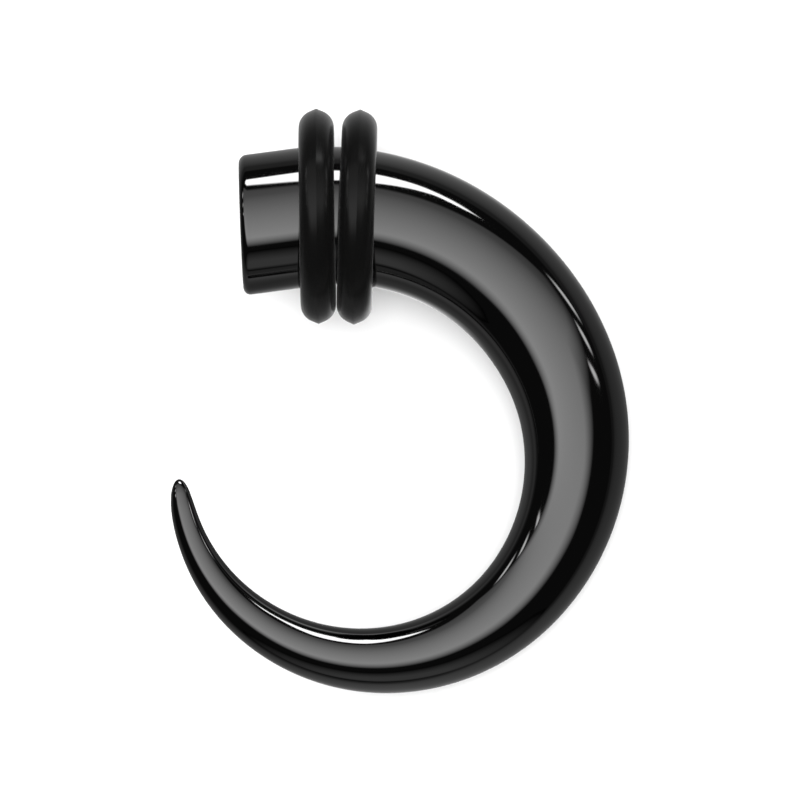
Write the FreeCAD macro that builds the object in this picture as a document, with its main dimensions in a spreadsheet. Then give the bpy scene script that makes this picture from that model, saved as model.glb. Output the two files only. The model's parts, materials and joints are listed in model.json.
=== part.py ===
import FreeCAD, Part
import math
import os

import Sketcher

# Hook taper for stretching a pierced ear lobe, with the two O-rings that hold it in place.
# The taper is one polished steel bar bent into an open hook: a short straight shaft of the
# full gauge, then a curve that thins steadily to a blunt point. The O-rings are round rubber
# rings with a moulded ridge round their outside, pushed on where the shaft starts to bend.
# The part lies on its side on a table. The rings are thicker than the bar, so it leans over,
# and rests on the rim of the front ring and on the outside of the bend.

# Every length is in millimetres and every angle in degrees.
SIZES = (
    # alias, value, meaning
    ("gauge_diameter", 8.0, "0 gauge shaft, the size of the stretched hole"),
    ("shaft_length", 3.47, "straight stretch, from the butt face to the first bend"),
    ("butt_slant", 5.2, "butt face, off square to the shaft"),
    ("butt_rounding", 0.45, "polished edge of the butt face"),
    ("nose_length", 0.8, "rounded end beyond the last section"),
    ("nose_half_axis", 2.12, "half the long axis of the ellipse that the nose is the end of"),
    ("ring_cord_diameter", 2.03, "round section of an O-ring"),
    ("ring_bore_diameter", 8.12, "hole of an O-ring on the shaft"),
    ("ring_ridge_angle", 23.0, "where the moulded ridge leaves the round section"),
    ("back_ring_place", 4.41, "along the bar from the butt face to the back ring"),
    ("back_ring_lean", -2.9, "back ring, off square to the bar"),
    ("front_ring_place", 6.69, "along the bar from the butt face to the front ring"),
    ("front_ring_lean", 3.9, "front ring, off square to the bar"),
    ("shaft_rise", 7.4, "shaft, above the X axis of the part's own frame"),
    ("rest_lean", 9.4, "how far the bend's plane leans on a table"),
    ("rest_lean_heading", 46.0, "direction of the line in that plane that it leans about"),
)

# The bend, from the tip to the shaft: arcs that run on from each other with no kink.
BENDS = (
    # name, radius of the bar's middle line, sweep
    ("tip_bend", 10.77, 43.0),
    ("lower_bend", 11.4, 92.5),
    ("outer_bend", 12.46, 61.1),
    ("shoulder_bend", 14.12, 73.8),
)

# The taper: the bar's diameter at places along the bend, from the tip to the shaft.
SECTIONS = (
    # bend, share of that bend from its tip end, diameter
    ("tip_bend", 0.0, 1.09),
    ("tip_bend", 0.1, 1.37),
    ("tip_bend", 0.36, 1.74),
    ("lower_bend", 0.0, 2.61),
    ("lower_bend", 0.33, 3.48),
    ("lower_bend", 0.67, 4.28),
    ("outer_bend", 0.0, 5.04),
    ("outer_bend", 0.5, 5.83),
    ("shoulder_bend", 0.0, 6.48),
    ("shoulder_bend", 0.35, 7.01),
    ("shoulder_bend", 0.7, 7.64),
    ("shoulder_bend", 1.0, 8.0),
)

Vector = FreeCAD.Vector
Constraint = Sketcher.Constraint
# The bend lies in the XY plane of its own body until the part is laid down.
OUT_OF_PLANE = Vector(0, 0, 1)


def fill_sheet(doc):
    """Puts every driving dimension in a cell of its own, under its alias."""
    rows = list(SIZES)
    for name, radius, sweep in BENDS:
        rows.append((f"{name}_radius", radius, "radius of the bar's middle line"))
        rows.append((f"{name}_sweep", sweep, "angle that the bend turns through"))
    for number, (bend, share, diameter) in enumerate(SECTIONS, 1):
        rows.append((f"section_{number}_share", share, f"share of {bend} from its tip end"))
        rows.append((f"section_{number}_diameter", diameter, "diameter of the bar there"))
    sheet = doc.addObject("Spreadsheet::Sheet", "Sizes")
    for row, (alias, value, meaning) in enumerate(rows, 1):
        sheet.set(f"A{row}", alias)
        sheet.set(f"B{row}", str(value))
        sheet.setAlias(f"B{row}", alias)
        sheet.set(f"C{row}", meaning)
    doc.recompute()
    return sheet


def origin_part(body, role):
    """One of the body's own origin planes or axes."""
    return next(item for item in body.Origin.OriginFeatures if item.Role == role)


def flat_sketch(body, name):
    """An empty sketch on the body's own XY plane."""
    sketch = body.newObject("Sketcher::SketchObject", name)
    sketch.AttachmentSupport = [(origin_part(body, "XY_Plane"), "")]
    sketch.MapMode = "FlatFace"
    return sketch


def drive(sketch, constraint, name, expression):
    """Adds a constraint to the sketch, named and driven by the sheet."""
    index = sketch.addConstraint(constraint)
    sketch.renameConstraint(index, name)
    sketch.setExpression(f"Constraints.{name}", expression)


def draw_bend_line(body, sheet):
    """The bar's middle line round the bend: tangent arcs, from the tip to the shaft."""
    sketch = flat_sketch(body, "bend_line")
    place = Vector(sheet.shaft_length, 0, 0)
    heading = 0.0
    arcs = []
    for name, radius, sweep in reversed(BENDS):
        turn = math.radians(sweep)
        centre = place + Vector(math.sin(heading), -math.cos(heading), 0) * radius
        near_end = heading + math.pi / 2
        arcs.append(Part.ArcOfCircle(Part.Circle(centre, OUT_OF_PLANE, radius),
                                     near_end - turn, near_end))
        heading -= turn
        place = centre + Vector(-math.sin(heading), math.cos(heading), 0) * radius
    numbers = [sketch.addGeometry(arc, False) for arc in reversed(arcs)]
    for number, (name, radius, sweep) in zip(numbers, BENDS):
        drive(sketch, Constraint("Radius", number, radius), f"{name}_radius",
              f"Sizes.{name}_radius")
        drive(sketch, Constraint("Angle", number, math.radians(sweep)), f"{name}_sweep",
              f"Sizes.{name}_sweep * 1 deg")
    for number, following in zip(numbers, numbers[1:]):
        sketch.addConstraint(Constraint("Tangent", number, 2, following, 1))
    # The last arc meets the shaft on the X axis, and its centre is straight below that.
    last = numbers[-1]
    sketch.addConstraint(Constraint("PointOnObject", last, 2, -1))
    sketch.addConstraint(Constraint("Vertical", last, 2, last, 3))
    drive(sketch, Constraint("DistanceX", -1, 1, last, 2, sheet.shaft_length), "shaft_length",
          "Sizes.shaft_length")
    return sketch


def draw_round_section(body, line, name, edge, share, diameter):
    """A circle square to the middle line, its place and diameter driven by expressions."""
    sketch = body.newObject("Sketcher::SketchObject", name)
    sketch.AttachmentSupport = [(line, edge)]
    sketch.MapMode = "NormalToEdge"
    sketch.setExpression("MapPathParameter", share)
    circle = sketch.addGeometry(Part.Circle(Vector(0, 0, 0), OUT_OF_PLANE, 1.0), False)
    sketch.addConstraint(Constraint("Coincident", circle, 3, -1, 1))
    drive(sketch, Constraint("Diameter", circle, 2.0), "diameter", diameter)
    return sketch


def draw_butt_cut(body, sheet):
    """What is cut off the shaft to leave the butt face: a block with one slanting side."""
    sketch = flat_sketch(body, "butt_cut")
    reach = sheet.gauge_diameter
    lean = reach * math.tan(math.radians(sheet.butt_slant))
    corners = [Vector(-lean, -reach, 0), Vector(lean, reach, 0),
               Vector(-reach, reach, 0), Vector(-reach, -reach, 0)]
    face, top, back, bottom = [
        sketch.addGeometry(Part.LineSegment(start, end), False)
        for start, end in zip(corners, corners[1:] + corners[:1])]
    for side, following in ((face, top), (top, back), (back, bottom), (bottom, face)):
        sketch.addConstraint(Constraint("Coincident", side, 2, following, 1))
    sketch.addConstraint(Constraint("Horizontal", top))
    sketch.addConstraint(Constraint("Vertical", back))
    sketch.addConstraint(Constraint("Horizontal", bottom))
    sketch.addConstraint(Constraint("PointOnObject", -1, 1, face))
    drive(sketch, Constraint("Angle", -1, 1, face, 1, math.pi / 2 - math.radians(sheet.butt_slant)),
          "slant", "90 deg - Sizes.butt_slant * 1 deg")
    drive(sketch, Constraint("DistanceY", -1, 1, top, 1, reach), "above", "Sizes.gauge_diameter")
    drive(sketch, Constraint("DistanceY", bottom, 2, -1, 1, reach), "below",
          "Sizes.gauge_diameter")
    drive(sketch, Constraint("DistanceX", top, 2, -1, 1, reach), "behind",
          "Sizes.gauge_diameter")
    return sketch


def make_hook_taper(doc, sheet):
    """The bar: the swept bend, the shaft, the rounded nose, and the flat polished butt."""
    body = doc.addObject("PartDesign::Body", "hook_taper")
    line = draw_bend_line(body, sheet)
    edges = {name: f"Edge{number}" for number, (name, radius, sweep) in enumerate(BENDS, 1)}
    sections = [
        draw_round_section(body, line, f"section_{number}", edges[bend],
                           f"Sizes.section_{number}_share", f"Sizes.section_{number}_diameter")
        for number, (bend, share, diameter) in enumerate(SECTIONS, 1)]
    shaft_section = draw_round_section(body, line, "shaft_section", edges["shoulder_bend"], "1",
                                       "Sizes.gauge_diameter")
    doc.recompute()

    bend = body.newObject("PartDesign::AdditivePipe", "bend")
    bend.Profile = sections[0]
    bend.Spine = line
    bend.Transformation = "Multisection"
    bend.Sections = [(section, [""]) for section in sections[1:]]
    doc.recompute()

    # The shaft runs on a little past the butt face, which is then cut through it.
    shaft = body.newObject("PartDesign::Pad", "shaft")
    shaft.Profile = shaft_section
    shaft.Reversed = True
    shaft.setExpression("Length", "Sizes.shaft_length + Sizes.butt_rounding * 2")
    doc.recompute()

    # The nose is the end of a long ellipsoid, cut off where it is as thick as the first
    # section, so that it carries on the taper and rounds it off.
    nose = body.newObject("PartDesign::AdditiveEllipsoid", "nose")
    nose.AttachmentSupport = [(line, edges["tip_bend"])]
    nose.MapMode = "NormalToEdge"
    cut_off = "(Sizes.nose_half_axis - Sizes.nose_length)"
    across = f"Sizes.section_1_diameter / 2 / sqrt(1 - ({cut_off} / Sizes.nose_half_axis) ^ 2)"
    nose.setExpression("AttachmentOffset.Base.z", f"-{cut_off}")
    nose.setExpression("Radius1", "Sizes.nose_half_axis")
    nose.setExpression("Radius2", across)
    nose.setExpression("Radius3", across)
    nose.setExpression("Angle1", f"asin({cut_off} / Sizes.nose_half_axis)")
    nose.Angle2 = 90
    doc.recompute()

    butt = body.newObject("PartDesign::Pocket", "butt_face")
    butt.Profile = draw_butt_cut(body, sheet)
    butt.Type = "ThroughAll"
    butt.Midplane = True
    doc.recompute()

    face = next(face for face in butt.Shape.Faces if face.isInside(Vector(0, 0, 0), 1e-6, True))
    rim = face.OuterWire.Edges[0]
    number = next(number for number, edge in enumerate(butt.Shape.Edges, 1) if edge.isSame(rim))
    polish = body.newObject("PartDesign::Fillet", "butt_polish")
    polish.Base = (butt, [f"Edge{number}"])
    polish.setExpression("Radius", "Sizes.butt_rounding")
    doc.recompute()
    return body


def make_o_ring(doc, name):
    """An O-ring about its body's X axis: a round section with a ridge at its outer edge."""
    body = doc.addObject("PartDesign::Body", name)
    sketch = flat_sketch(body, f"{name}_section")
    cord_radius = doc.Sizes.ring_cord_diameter / 2
    middle = Vector(0, doc.Sizes.ring_bore_diameter / 2 + cord_radius, 0)
    ridge_angle = math.radians(doc.Sizes.ring_ridge_angle)
    ridge = middle + Vector(0, cord_radius / math.cos(ridge_angle), 0)
    start = math.pi / 2 + ridge_angle
    end = math.pi / 2 - ridge_angle + 2 * math.pi
    arc = Part.ArcOfCircle(Part.Circle(middle, OUT_OF_PLANE, cord_radius), start, end)
    cord = sketch.addGeometry(arc, False)
    right = sketch.addGeometry(Part.LineSegment(arc.EndPoint, ridge), False)
    left = sketch.addGeometry(Part.LineSegment(ridge, arc.StartPoint), False)
    sketch.addConstraint(Constraint("Tangent", cord, 2, right, 1))
    sketch.addConstraint(Constraint("Coincident", right, 2, left, 1))
    sketch.addConstraint(Constraint("Tangent", left, 2, cord, 1))
    sketch.addConstraint(Constraint("PointOnObject", cord, 3, -2))
    sketch.addConstraint(Constraint("PointOnObject", right, 2, -2))
    drive(sketch, Constraint("Radius", cord, cord_radius), "cord_radius",
          "Sizes.ring_cord_diameter / 2")
    drive(sketch, Constraint("DistanceY", -1, 1, cord, 3, middle.y), "middle_radius",
          "(Sizes.ring_bore_diameter + Sizes.ring_cord_diameter) / 2")
    drive(sketch, Constraint("DistanceY", cord, 3, right, 2, ridge.y - middle.y), "ridge_height",
          "Sizes.ring_cord_diameter / 2 / cos(Sizes.ring_ridge_angle)")
    ring = body.newObject("PartDesign::Revolution", f"{name}_moulding")
    ring.Profile = sketch
    ring.ReferenceAxis = (origin_part(body, "X_Axis"), [""])
    ring.Angle = 360
    doc.recompute()
    return body


def place_on_bar(sheet, distance, lean):
    """A ring's place on the bar: its distance from the butt face, and its lean."""
    turn = (distance - sheet.shaft_length) / sheet.shoulder_bend_radius
    point = Vector(sheet.shaft_length + sheet.shoulder_bend_radius * math.sin(turn),
                   sheet.shoulder_bend_radius * (math.cos(turn) - 1), 0)
    heading = FreeCAD.Rotation(OUT_OF_PLANE, lean - math.degrees(turn))
    return FreeCAD.Placement(point, heading)


def lay_down(sheet, places):
    """Lays the part on its side with its box's bottom centre at the origin."""
    rise = FreeCAD.Rotation(OUT_OF_PLANE, sheet.shaft_rise)
    heading = math.radians(sheet.rest_lean_heading)
    lean = FreeCAD.Rotation(Vector(math.cos(heading), math.sin(heading), 0), sheet.rest_lean)
    laid = FreeCAD.Placement(Vector(0, 0, 0), lean * rise)
    for body, place in places:
        body.Placement = laid * place
    box = Part.makeCompound([body.Shape for body, place in places]).optimalBoundingBox(False)
    down = FreeCAD.Placement(Vector(-box.Center.x, -box.Center.y, -box.ZMin),
                             FreeCAD.Rotation())
    for body, place in places:
        body.Placement = down * body.Placement


def check(doc, bodies):
    """Stops with a message if anything in the document failed."""
    for item in doc.Objects:
        if "Invalid" in item.State or "Error" in item.State:
            raise RuntimeError(f"{item.Name} failed: {item.State}")
    for body in bodies:
        if body.Shape.isNull() or not body.Shape.isValid() or len(body.Shape.Solids) != 1:
            raise RuntimeError(f"{body.Label} is not one good solid")


doc = FreeCAD.newDocument("ear_stretching_taper")
sheet = fill_sheet(doc)
taper = make_hook_taper(doc, sheet)
back_ring = make_o_ring(doc, "o_ring_back")
front_ring = make_o_ring(doc, "o_ring_front")
lay_down(sheet, (
    (taper, FreeCAD.Placement()),
    (back_ring, place_on_bar(sheet, sheet.back_ring_place, sheet.back_ring_lean)),
    (front_ring, place_on_bar(sheet, sheet.front_ring_place, sheet.front_ring_lean)),
))
doc.recompute()
bodies = (taper, back_ring, front_ring)
check(doc, bodies)
os.makedirs("parts", exist_ok=True)
for body in bodies:
    body.Shape.exportStep(f"parts/{body.Label}.step")
    print(body.Label, "volume", round(body.Shape.Volume, 2), "mm3")
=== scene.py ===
import json
import math
import bpy
from mathutils import Matrix, Vector


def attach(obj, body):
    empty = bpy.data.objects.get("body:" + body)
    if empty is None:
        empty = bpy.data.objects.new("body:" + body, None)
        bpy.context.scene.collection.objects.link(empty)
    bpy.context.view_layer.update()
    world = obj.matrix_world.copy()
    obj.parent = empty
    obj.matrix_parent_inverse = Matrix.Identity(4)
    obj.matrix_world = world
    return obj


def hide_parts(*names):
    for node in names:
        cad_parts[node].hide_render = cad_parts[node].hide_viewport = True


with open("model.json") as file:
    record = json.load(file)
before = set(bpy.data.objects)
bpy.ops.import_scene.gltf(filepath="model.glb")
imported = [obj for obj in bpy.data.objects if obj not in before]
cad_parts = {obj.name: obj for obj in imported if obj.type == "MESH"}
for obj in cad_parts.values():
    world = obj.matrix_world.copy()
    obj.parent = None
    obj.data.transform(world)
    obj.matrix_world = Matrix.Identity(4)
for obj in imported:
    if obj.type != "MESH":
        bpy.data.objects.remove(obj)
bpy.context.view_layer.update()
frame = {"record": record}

# Hook taper. One bar of 316L surgical steel, turned down to a long taper, bent round a former
# and polished to a mirror before its black coating. The butt is cut flat and its edge rounded
# on the polishing wheel, and the point is blunted so that it slides through the lobe.
MM = 0.001
SHAFT_LENGTH = 3.47
GAUGE_DIAMETER = 8.0
BUTT_SLANT = 5.2
BUTT_ROUNDING = 0.45
BUTT_ROUNDING_STEPS = 8
BENDS = (
    # radius of the bar's middle line, sweep, from the shaft to the tip
    (14.12, 73.8),
    (12.46, 61.1),
    (11.4, 92.5),
    (10.77, 43.0),
)
TAPER = (
    # distance from the butt along the middle line, diameter
    (3.47, 8.0),
    (8.93, 7.64),
    (15.29, 7.01),
    (21.66, 6.48),
    (28.30, 5.83),
    (34.95, 5.04),
    (41.02, 4.28),
    (47.28, 3.48),
    (53.35, 2.61),
    (58.52, 1.74),
    (60.62, 1.37),
    (61.43, 1.09),
)
NOSE_LENGTH = 0.8
NOSE_HALF_AXIS = 2.12
NOSE_STEPS = 14
BEND_STEP = 0.3
BAR_SIDES = 96

# Where the taper lies: on its side on the table, leaning over because the O-rings are thicker
# than the bar. The record's butt mount gives the middle of the butt face, and the bend's plane
# leans about a line in the table.
SHAFT_RISE = 7.4
REST_LEAN = 9.4
REST_LEAN_HEADING = 46.0
butt_mount = next(mount for mount in frame["record"]["mounts"] if mount["name"] == "butt")
butt_middle = Vector(butt_mount["pos_m"])
lean_heading = math.radians(REST_LEAN_HEADING)
lean_axis = Vector((math.cos(lean_heading), math.sin(lean_heading), 0))
lean = Matrix.Rotation(math.radians(REST_LEAN), 4, lean_axis)
rise = Matrix.Rotation(math.radians(SHAFT_RISE), 4, "Z")
# From the bend's own plane, butt at the origin and shaft along X, to where the part lies.
laid_down = Matrix.Translation(butt_middle) @ lean @ rise


def deselect():
    """Nothing stays selected, so that the next operator acts on its own piece alone."""
    if bpy.context.mode != "OBJECT":
        bpy.ops.object.mode_set(mode="OBJECT")
    bpy.ops.object.select_all(action="DESELECT")


def lay(piece, place):
    """Puts a piece made in the bend's plane where the part lies, with its place in its mesh."""
    piece.matrix_world = place
    deselect()
    piece.select_set(True)
    bpy.context.view_layer.objects.active = piece
    bpy.ops.object.transform_apply(location=True, rotation=True, scale=True)


def linear(hex_colour):
    """An sRGB hex colour as the linear colour that a shader takes."""
    parts = [int(hex_colour[i:i + 2], 16) / 255 for i in (1, 3, 5)]
    return tuple(c / 12.92 if c <= 0.04045 else ((c + 0.055) / 1.055) ** 2.4
                 for c in parts) + (1.0,)


def add_node(tree, kind, settings=(), **links):
    """Adds a node; settings are its properties and plain inputs, links its linked inputs."""
    node = tree.nodes.new(kind)
    for name, value in dict(settings).items():
        if name in node.inputs:
            node.inputs[name].default_value = value
        else:
            setattr(node, name, value)
    for name, source in links.items():
        tree.links.new(source, node.inputs[name.replace("_", " ")])
    return node


def bar_diameter(distance):
    """The bar's diameter, on a smooth curve through the rows of the taper."""
    last = len(TAPER) - 1
    k = max(i for i in range(last) if i == 0 or TAPER[i][0] <= distance)

    def slope(i):
        if i == 0:
            return 0.0
        low, high = TAPER[i - 1], TAPER[min(i + 1, last)]
        return (high[1] - low[1]) / (high[0] - low[0])

    (near, wide), (far, narrow) = TAPER[k], TAPER[k + 1]
    span = far - near
    u = (distance - near) / span
    return (wide * (2 * u ** 3 - 3 * u ** 2 + 1) + narrow * (3 * u ** 2 - 2 * u ** 3)
            + slope(k) * span * (u ** 3 - 2 * u ** 2 + u) + slope(k + 1) * span * (u ** 3 - u ** 2))


# The shaft starts where the bend will, and runs a little past the butt, where it is cut off.
deselect()
cut_away = 4 * BUTT_ROUNDING
bpy.ops.mesh.primitive_circle_add(vertices=BAR_SIDES, radius=GAUGE_DIAMETER / 2 * MM,
                                  location=(SHAFT_LENGTH * MM, 0, 0),
                                  rotation=(0, math.pi / 2, 0))
taper = bpy.context.object
taper.name = "polished_hook_taper"
bpy.ops.object.transform_apply(location=True, rotation=True, scale=True)
bpy.ops.object.mode_set(mode="EDIT")
bpy.ops.mesh.select_all(action="SELECT")
bpy.ops.mesh.extrude_region_move(
    TRANSFORM_OT_translate={"value": (-(SHAFT_LENGTH + cut_away) * MM, 0, 0)})
slant = math.radians(BUTT_SLANT)
bpy.ops.mesh.select_all(action="SELECT")
bpy.ops.mesh.bisect(plane_co=(0, 0, 0), plane_no=(-math.cos(slant), math.sin(slant), 0),
                    use_fill=True, clear_outer=True)
bpy.ops.mesh.bevel(offset=BUTT_ROUNDING * MM, segments=BUTT_ROUNDING_STEPS, affect="EDGES")

# The open end is then drawn out along the bend, ring by ring, and thinned on the way.
bpy.ops.mesh.select_all(action="DESELECT")
bpy.ops.mesh.select_non_manifold()
middle = Vector((SHAFT_LENGTH * MM, 0, 0))
heading = 0.0
distance = SHAFT_LENGTH
diameter = GAUGE_DIAMETER
for radius, sweep in BENDS:
    centre = middle + Vector((math.sin(heading), -math.cos(heading), 0)) * radius * MM
    steps = round(math.radians(sweep) * radius / BEND_STEP)
    turn = math.radians(sweep) / steps
    for step in range(steps):
        bpy.ops.mesh.extrude_region_move()
        bpy.ops.transform.rotate(value=turn, orient_axis="Z", center_override=centre)
        heading -= turn
        middle = centre + Vector((-math.sin(heading), math.cos(heading), 0)) * radius * MM
        distance += turn * radius
        thinner = bar_diameter(min(distance, TAPER[-1][0])) / diameter
        bpy.ops.transform.resize(value=(thinner, thinner, thinner), center_override=middle)
        diameter *= thinner

# The nose is the end of an ellipsoid, cut where it is as wide as the bar. Its last ring stays
# half a step short of the pole and is merged into it.
cut_off = NOSE_HALF_AXIS - NOSE_LENGTH
half_width = diameter / 2 / math.sqrt(1 - (cut_off / NOSE_HALF_AXIS) ** 2)
forward = Vector((math.cos(heading), math.sin(heading), 0))
first_angle = math.asin(cut_off / NOSE_HALF_AXIS)
along = cut_off
for step in range(1, NOSE_STEPS + 1):
    angle = first_angle + (math.pi / 2 - first_angle) * step / (NOSE_STEPS + 0.5)
    onward = NOSE_HALF_AXIS * math.sin(angle) - along
    bpy.ops.mesh.extrude_region_move(TRANSFORM_OT_translate={"value": forward * onward * MM})
    along += onward
    middle = middle + forward * onward * MM
    thinner = 2 * half_width * math.cos(angle) / diameter
    bpy.ops.transform.resize(value=(thinner, thinner, thinner), center_override=middle)
    diameter *= thinner
bpy.ops.mesh.merge(type="CENTER")
bpy.ops.mesh.select_all(action="SELECT")
bpy.ops.mesh.normals_make_consistent(inside=False)
bpy.ops.object.mode_set(mode="OBJECT")
lay(taper, laid_down)
bpy.ops.object.shade_smooth()
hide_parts("hook_taper")
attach(taper, "root")

# Steel with a black vapour coating, mirror polished. The eye sees a dark grey metal that is all
# reflection. The polishing wheel leaves the gloss a little uneven, in soft patches a few
# millimetres wide.
COATING_COLOUR = "#555555"
POLISH_PATCH = 2.5
POLISH_BEST, POLISH_WORST = 0.05, 0.07
NOISE_LOW, NOISE_HIGH = 0.3, 0.7
coated_steel = bpy.data.materials.new("mirror polished steel with black vapour coating")
coated_steel.use_nodes = True
tree = coated_steel.node_tree
shader = tree.nodes["Principled BSDF"]
shader.inputs["Base Color"].default_value = linear(COATING_COLOUR)
shader.inputs["Metallic"].default_value = 1.0
coordinates = add_node(tree, "ShaderNodeTexCoord")
patches = add_node(tree, "ShaderNodeTexNoise", {"Scale": 1 / (POLISH_PATCH * MM), "Detail": 2.0},
                   Vector=coordinates.outputs["Object"])
gloss = add_node(tree, "ShaderNodeMapRange", {"From Min": NOISE_LOW, "From Max": NOISE_HIGH,
                 "To Min": POLISH_BEST, "To Max": POLISH_WORST}, Value=patches.outputs["Fac"])
tree.links.new(gloss.outputs["Result"], shader.inputs["Roughness"])
taper.data.materials.append(coated_steel)

# O-rings. Two rings of black rubber, moulded in halves, so a fine ridge runs round the outside
# where the mould closed. They are stretched on over the shaft and grip where the bend starts.
CORD_DIAMETER = 2.03
BORE_DIAMETER = 8.12
RIDGE_ANGLE = 23.0
RING_PLACES = (
    # piece, node it stands for, distance from the butt face, lean off square to the bar
    ("moulded_o_ring_back", "o_ring_back", 4.41, -2.9),
    ("moulded_o_ring_front", "o_ring_front", 6.69, 3.9),
)
CORD_SIDES = 48
RING_STEPS = 160
SHARP_EDGE = 30

# Moulded nitrile rubber. The eye sees a near black skin with a dull, broad shine, a trace of
# pale bloom towards the rims, and the faint grain that the mould leaves.
RUBBER_COLOUR = "#080808"
RUBBER_ROUGHNESS = 0.22
RUBBER_SHINE = 0.18
BLOOM = 0.06
BLOOM_ROUGHNESS = 0.35
GRAIN_SIZE = 0.15
GRAIN_HEIGHT = 0.003
GRAIN_STRENGTH = 0.5
rubber = bpy.data.materials.new("moulded black nitrile rubber")
rubber.use_nodes = True
tree = rubber.node_tree
shader = tree.nodes["Principled BSDF"]
shader.inputs["Base Color"].default_value = linear(RUBBER_COLOUR)
shader.inputs["Roughness"].default_value = RUBBER_ROUGHNESS
shader.inputs["Specular IOR Level"].default_value = RUBBER_SHINE
shader.inputs["Sheen Weight"].default_value = BLOOM
shader.inputs["Sheen Roughness"].default_value = BLOOM_ROUGHNESS
coordinates = add_node(tree, "ShaderNodeTexCoord")
grain = add_node(tree, "ShaderNodeTexNoise", {"Scale": 1 / (GRAIN_SIZE * MM), "Detail": 3.0,
                 "Roughness": 0.6}, Vector=coordinates.outputs["Object"])
skin = add_node(tree, "ShaderNodeBump", {"Strength": GRAIN_STRENGTH,
                "Distance": GRAIN_HEIGHT * MM}, Height=grain.outputs["Fac"])
tree.links.new(skin.outputs["Normal"], shader.inputs["Normal"])

cord_radius = CORD_DIAMETER / 2
ridge_radians = math.radians(RIDGE_ANGLE)
ridge_height = cord_radius * (1 / math.cos(ridge_radians) - 1)
ring_radius = (BORE_DIAMETER + CORD_DIAMETER) / 2
bend_radius = BENDS[0][0]
hair = 0.001 * MM
for name, node, from_butt, ring_lean in RING_PLACES:
    deselect()
    bpy.ops.mesh.primitive_circle_add(vertices=CORD_SIDES, radius=cord_radius * MM,
                                      location=(0, ring_radius * MM, 0))
    ring = bpy.context.object
    ring.name = name
    bpy.ops.object.transform_apply(location=True, rotation=True, scale=True)
    # The outermost point of the cord's section is pulled out to the ridge.
    outermost = max(vertex.co.y for vertex in ring.data.vertices)
    bpy.ops.object.mode_set(mode="EDIT")
    bpy.ops.mesh.select_all(action="DESELECT")
    bpy.ops.object.mode_set(mode="OBJECT")
    for vertex in ring.data.vertices:
        vertex.select = vertex.co.y > outermost - hair
    bpy.ops.object.mode_set(mode="EDIT")
    bpy.ops.transform.translate(
        value=(0, ridge_height * MM, 0), use_proportional_edit=True,
        proportional_edit_falloff="SHARP",
        proportional_size=cord_radius * math.sin(ridge_radians) * MM)
    bpy.ops.mesh.select_all(action="SELECT")
    bpy.ops.mesh.spin(steps=RING_STEPS, angle=2 * math.pi, center=(0, 0, 0), axis=(1, 0, 0))
    bpy.ops.mesh.select_all(action="SELECT")
    bpy.ops.mesh.remove_doubles(threshold=hair)
    bpy.ops.mesh.normals_make_consistent(inside=False)
    bpy.ops.object.mode_set(mode="OBJECT")
    turn = (from_butt - SHAFT_LENGTH) / bend_radius
    on_bar = Vector((SHAFT_LENGTH + bend_radius * math.sin(turn),
                     bend_radius * (math.cos(turn) - 1), 0)) * MM
    square = Matrix.Rotation(math.radians(ring_lean) - turn, 4, "Z")
    lay(ring, laid_down @ Matrix.Translation(on_bar) @ square)
    bpy.ops.object.shade_smooth_by_angle(angle=math.radians(SHARP_EDGE))
    ring.data.materials.append(rubber)
    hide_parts(node)
    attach(ring, "root")

# Camera. It looks square at the bend's plane from far off, with a long lens, as in the
# photograph, whose frame is 800 pixels wide and has the middle of the butt at BUTT_PIXEL.
PIXELS_PER_MM = 17.4375
FRAME_PIXELS = 800
BUTT_PIXEL = (241.0, 225.59)
LENS = 500.0
SENSOR = 36.0
NEAREST, FARTHEST = 0.01, 10.0
frame_width = FRAME_PIXELS / PIXELS_PER_MM
from_butt = Vector((FRAME_PIXELS / 2 - BUTT_PIXEL[0], BUTT_PIXEL[1] - FRAME_PIXELS / 2, 0))
aim = butt_middle + lean.to_3x3() @ (from_butt / PIXELS_PER_MM * MM)
towards_camera = lean.to_3x3() @ Vector((0, 0, 1))
camera_data = bpy.data.cameras.new("camera")
camera_data.lens = LENS
camera_data.sensor_width = SENSOR
camera_data.clip_start = NEAREST
camera_data.clip_end = FARTHEST
camera = bpy.data.objects.new("camera", camera_data)
bpy.context.scene.collection.objects.link(camera)
camera.matrix_world = (Matrix.Translation(aim + towards_camera * frame_width * LENS / SENSOR * MM)
                       @ lean)
bpy.context.scene.camera = camera

# Floor. A plain table top of matt white laminate, whose fine texture leaves no shine, so the eye
# sees an even white.
FLOOR_SIZE = 3.0
FLOOR_COLOUR = "#f6f6f6"
FLOOR_ROUGHNESS = 0.9
deselect()
bpy.ops.mesh.primitive_plane_add(size=FLOOR_SIZE, location=(0, 0, 0))
floor = bpy.context.object
floor.name = "table_top"
table_top = bpy.data.materials.new("matt white laminate")
table_top.use_nodes = True
shader = table_top.node_tree.nodes["Principled BSDF"]
shader.inputs["Base Color"].default_value = linear(FLOOR_COLOUR)
shader.inputs["Roughness"].default_value = FLOOR_ROUGHNESS
shader.inputs["Specular IOR Level"].default_value = 0.0
floor.data.materials.append(table_top)

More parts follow.
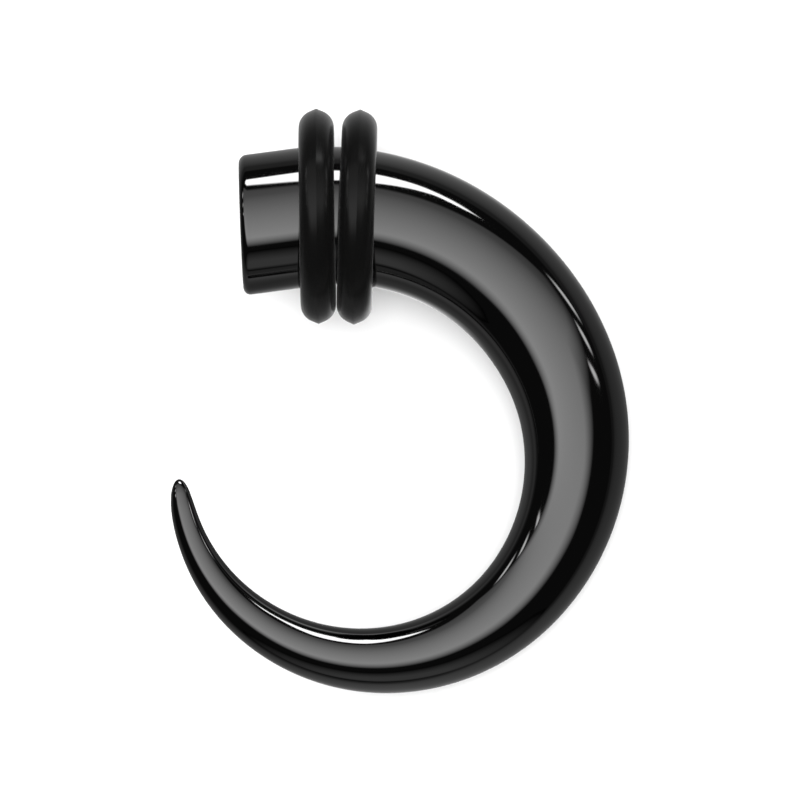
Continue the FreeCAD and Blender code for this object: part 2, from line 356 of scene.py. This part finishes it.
# Studio light. Even white light from all round, and a broad lamp by the camera, so that the
# table stays white and the shadow stays soft and close under the part. The plain Standard view
# keeps that white from turning grey.
WORLD_STRENGTH = 1.5
LAMP_STRENGTH = 1.2
LAMP_SPREAD = 24
LAMP_SET_BACK = 4
bpy.context.scene.view_settings.view_transform = "Standard"
world = bpy.data.worlds.new("studio")
bpy.context.scene.world = world
world.use_nodes = True
background = world.node_tree.nodes["Background"]
background.inputs["Color"].default_value = linear("#ffffff")
background.inputs["Strength"].default_value = WORLD_STRENGTH
lamp_data = bpy.data.lights.new("camera_side_lamp", "SUN")
lamp_data.energy = LAMP_STRENGTH
lamp_data.angle = math.radians(LAMP_SPREAD)
lamp = bpy.data.objects.new("camera_side_lamp", lamp_data)
bpy.context.scene.collection.objects.link(lamp)
lamp.visible_glossy = False
lamp.matrix_world = lean @ Matrix.Rotation(math.radians(-LAMP_SET_BACK), 4, "X")

# Black tent. Black cloth close round the set, which the polished bar mirrors in place of the
# white room. Soft boxes hang inside it. Only reflections see the tent and what is in it.
TENT_RADIUS = 1.2
TENT_GLOW = 0.03


def reflections_only(item):
    """A thing of the studio that shows only in reflections."""
    item.visible_camera = False
    item.visible_diffuse = False
    item.visible_transmission = False
    item.visible_shadow = False


# Cloth that glows as strongly as the attribute of that name says at each point.
glow = bpy.data.materials.new("glowing cloth")
glow.use_nodes = True
glow.node_tree.nodes.clear()
fade = add_node(glow.node_tree, "ShaderNodeAttribute", {"attribute_name": "strength"})
light = add_node(glow.node_tree, "ShaderNodeEmission", Strength=fade.outputs["Fac"])
add_node(glow.node_tree, "ShaderNodeOutputMaterial", Surface=light.outputs[0])

deselect()
bpy.ops.mesh.primitive_uv_sphere_add(radius=TENT_RADIUS, segments=48, ring_count=24)
tent = bpy.context.object
tent.name = "black_tent"
fade = tent.data.attributes.new("strength", "FLOAT", "POINT")
for point in fade.data:
    point.value = TENT_GLOW
tent.data.materials.append(glow)
reflections_only(tent)

# Large soft box. It hangs close over the bar and opens out towards the top of the picture. Its
# cloth is brightest at its lower left, where its lamp stands behind it.
BOX_OUTLINE = (
    # across, up
    (-6, -34),
    (14, -32),
    (30, -22),
    (39, -8),
    (46, 4),
    (57, 16),
    (64, 30),
    (60, 44),
    (34, 52),
    (0, 56),
    (-34, 60),
    (-57, 57),
    (-65, 38),
    (-62, 18),
    (-56, 4),
    (-48, -10),
    (-36, -25),
    (-20, -33),
)
BOX_REACH = 0.1
BOX_EDGE = 0.26
BOX_RAMP = (
    # height on the box in units of its reach, strength
    (-0.7, 2.5),
    (-0.4, 2.4),
    (0.14, 1.75),
    (0.6, 1.15),
    (1.1, 0.6),
    (2.0, 0.4),
)
BOX_FALL_TO_RIGHT = 0.16
BOX_HALF_WIDTH = 2.0


def hang_card(name, outline, strength, reach, edge, flat=False):
    """Hangs a glowing card whose light fades out over a share of its width towards its edge.
    The outline's corners are angles from the line of sight, across and up in the picture. Reach
    is how far off it hangs, with all its corners at that distance unless it is flat."""
    deselect()
    bpy.ops.mesh.primitive_circle_add(vertices=len(outline), fill_type="NGON")
    card = bpy.context.object
    card.name = name
    for corner, (across, up) in zip(card.data.vertices, outline):
        off = math.radians(math.hypot(across, up))
        way = Vector((across, up, 0)).normalized() * math.sin(off)
        way.z = math.cos(off)
        corner.co = way * reach / (way.z if flat else 1)
    middle = sum((corner.co for corner in card.data.vertices), Vector()) / len(outline)
    bpy.ops.object.mode_set(mode="EDIT")
    bpy.ops.mesh.select_all(action="SELECT")
    bpy.ops.mesh.inset(thickness=0.0001 * reach)
    bpy.ops.transform.resize(value=(1 - edge, 1 - edge, 1 - edge), center_override=middle)
    bpy.ops.object.mode_set(mode="OBJECT")
    fade = card.data.attributes.new("strength", "FLOAT", "POINT")
    for i, point in enumerate(fade.data):
        point.value = strength if i >= len(outline) else 0.0
    card.matrix_world = Matrix.Translation(aim) @ lean
    card.data.materials.append(glow)
    reflections_only(card)
    return card


box = hang_card("large_soft_box", BOX_OUTLINE, 1.0, BOX_REACH, BOX_EDGE, flat=True)
# The box's cloth glows by height up it, and less towards the right.
graded_glow = bpy.data.materials.new("graded cloth of the soft box")
graded_glow.use_nodes = True
tree = graded_glow.node_tree
tree.nodes.clear()
coordinates = add_node(tree, "ShaderNodeTexCoord")
split = add_node(tree, "ShaderNodeSeparateXYZ", Vector=coordinates.outputs["Object"])
low, high = BOX_RAMP[0][0], BOX_RAMP[-1][0]
height = add_node(tree, "ShaderNodeMapRange", {"From Min": low * BOX_REACH,
                  "From Max": high * BOX_REACH}, Value=split.outputs["Y"])
ramp = add_node(tree, "ShaderNodeValToRGB", Fac=height.outputs["Result"])
top_strength = BOX_RAMP[0][1]
stops = ramp.color_ramp.elements
while len(stops) < len(BOX_RAMP):
    stops.new(0.5)
for stop, (up, strength) in zip(stops, BOX_RAMP):
    share = strength / top_strength
    stop.position = (up - low) / (high - low)
    stop.color = (share, share, share, 1)
fall = add_node(tree, "ShaderNodeMapRange", {
    "From Min": -BOX_HALF_WIDTH * BOX_REACH, "From Max": BOX_HALF_WIDTH * BOX_REACH,
    "To Min": top_strength * (1 + BOX_HALF_WIDTH * BOX_FALL_TO_RIGHT),
    "To Max": top_strength * (1 - BOX_HALF_WIDTH * BOX_FALL_TO_RIGHT)}, Value=split.outputs["X"])
fade = add_node(tree, "ShaderNodeAttribute", {"attribute_name": "strength"})
graded = add_node(tree, "ShaderNodeMath", {"operation": "MULTIPLY"})
tree.links.new(fade.outputs["Fac"], graded.inputs[0])
tree.links.new(fall.outputs["Result"], graded.inputs[1])
light = add_node(tree, "ShaderNodeEmission", Color=ramp.outputs["Color"],
                 Strength=graded.outputs["Value"])
add_node(tree, "ShaderNodeOutputMaterial", Surface=light.outputs[0])
box.data.materials.clear()
box.data.materials.append(graded_glow)

# Strip light. A bright band low down beyond the top of the picture, which draws the white line
# along the bar's upper side.
STRIP_OUTLINE = (
    # across, up
    (-35, 67),
    (-20, 65.5),
    (-8, 60.5),
    (11, 61.5),
    (23, 65.5),
    (31, 66.5),
    (38, 62),
    (43.5, 61.5),
    (39, 68),
    (28, 76),
    (11, 80.5),
    (-14, 79),
    (-33, 71.5),
)
STRIP_STRENGTH = 12.0
STRIP_REACH = 0.15
STRIP_EDGE = 0.14
hang_card("strip_light", STRIP_OUTLINE, STRIP_STRENGTH, STRIP_REACH, STRIP_EDGE)

# Small windows. Three stand on each side of the set, one below the other, and draw the short
# bright strokes on both sides of the bend.
WINDOWS = (
    # across, up, length, width, tilt
    (69, 43, 20, 7, 43),
    (68, 28, 14, 7, 37),
    (62.6, 15, 15, 5.5, 8),
)
WINDOW_STRENGTH = 4.5
WINDOW_REACH = 0.5
WINDOW_EDGE = 0.6
OVAL_CORNERS = 16


def oval(across, up, length, width, tilt):
    """The outline of an oval card, long way tilted down to the right in the picture."""
    outline = []
    t = math.radians(-tilt)
    for k in range(OVAL_CORNERS):
        a = 2 * math.pi * k / OVAL_CORNERS
        x, y = length / 2 * math.cos(a), width / 2 * math.sin(a)
        outline.append((across + x * math.cos(t) - y * math.sin(t),
                        up + x * math.sin(t) + y * math.cos(t)))
    return outline


# The left side's outlines are read backwards, so that every window faces the same way.
for side in (-1, 1):
    for number, (across, up, length, width, tilt) in enumerate(WINDOWS):
        hang_card("window_%d_%d" % (side, number),
                  oval(side * across, up, length, width, side * tilt)[::side],
                  WINDOW_STRENGTH, WINDOW_REACH, WINDOW_EDGE)

# Grey card. It lies beyond the bottom of the picture, and gives the bar's lower side its faint
# dark grey.
CARD_OVAL = (0, -63, 116, 38, 0)
CARD_STRENGTH = 0.34
CARD_REACH = 0.3
CARD_EDGE = 0.72
hang_card("grey_card", oval(*CARD_OVAL), CARD_STRENGTH, CARD_REACH, CARD_EDGE)

# Painted table reflection. A grey sheet that glows and shows only in reflections stands in for
# the table as the bar mirrors it. Its painted glow is palest close to the part and under its shaft,
# and stands in for the light that comes back from the white table top.
TABLE_REFLECTION_MIDDLE = 0.24
TABLE_REFLECTION_RINGS = (
    # radius in metres, strength above the middle in the picture, below it, at its sides
    (0.008, 1.7, 0.24, 0.14),
    (0.018, 0.52, 0.52, 0.21),
    (0.025, 0.5, 0.5, 0.2),
    (0.036, 0.4, 0.4, 0.16),
    (0.06, 0.17, 0.17, 0.07),
    (1.3, 0.04, 0.04, 0.016),
)
TABLE_REFLECTION_SIDES = 48
TABLE_REFLECTION_CLEARANCE = 0.02
deselect()
bpy.ops.mesh.primitive_circle_add(vertices=TABLE_REFLECTION_SIDES, radius=TABLE_REFLECTION_RINGS[0][0],
                                  fill_type="TRIFAN", location=(0, 0, 0))
cloth = bpy.context.object
cloth.name = "painted_table_reflection"
bpy.ops.object.mode_set(mode="EDIT")
bpy.ops.mesh.select_mode(type="EDGE")
for (near, *_), (far, *_) in zip(TABLE_REFLECTION_RINGS, TABLE_REFLECTION_RINGS[1:]):
    bpy.ops.mesh.select_all(action="DESELECT")
    bpy.ops.mesh.select_non_manifold()
    bpy.ops.mesh.extrude_edges_move()
    bpy.ops.transform.resize(value=(far / near, far / near, 1), center_override=(0, 0, 0))
bpy.ops.object.mode_set(mode="OBJECT")
# Painted reflection: each point's glow is set from its ring and side, brighter above the middle
# than below it and at the sides.
fade = cloth.data.attributes.new("strength", "FLOAT", "POINT")
for point, corner in zip(fade.data, cloth.data.vertices):
    away = corner.co.length
    if away < MM:
        point.value = TABLE_REFLECTION_MIDDLE
        continue
    _, above, below, beside = min(TABLE_REFLECTION_RINGS, key=lambda row: abs(row[0] - away))
    straight = above if corner.co.y > 0 else below
    point.value = straight + (beside - straight) * abs(corner.co.x) / away
cloth.location = (0, 0, TABLE_REFLECTION_CLEARANCE * MM)
cloth.data.materials.append(glow)
reflections_only(cloth)
